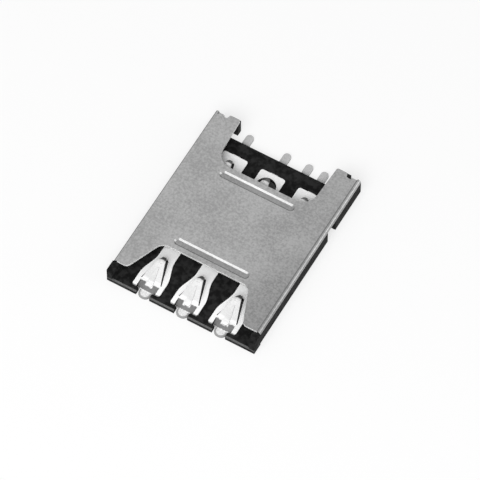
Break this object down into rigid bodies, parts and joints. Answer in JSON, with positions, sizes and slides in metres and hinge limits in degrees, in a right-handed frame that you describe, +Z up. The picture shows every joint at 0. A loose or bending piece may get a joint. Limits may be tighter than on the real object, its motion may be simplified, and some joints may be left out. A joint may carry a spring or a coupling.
{
  "type": "sim card connector",
  "caption": "Low surface-mount socket that a nano card is pushed into: a stamped metal cover over a black moulded tray with sprung contacts in two rows.",
  "frame": {"origin": "centre of the outline on the board plane, at the underside of the solder tails", "axes": "+Y from the card mouth towards the far tails, +Z up from the board, +X to the right seen from the mouth"},
  "size_m": [0.0098, 0.0128, 0.0013],
  "materials": {
    "moulding": "black, matt, glass-filled",
    "cover_steel": "satin rolled sheet",
    "plating": "copper alloy with bright silver-white plating"
  },
  "bodies": {
    "root": {"housing": "moulding", "shell": "cover_steel", "contact_near_left": "plating", "contact_near_middle": "plating", "contact_near_right": "plating", "contact_far_left": "plating", "contact_far_middle": "plating", "contact_far_right": "plating", "detect_spring": "plating"}
  },
  "joints": []
}
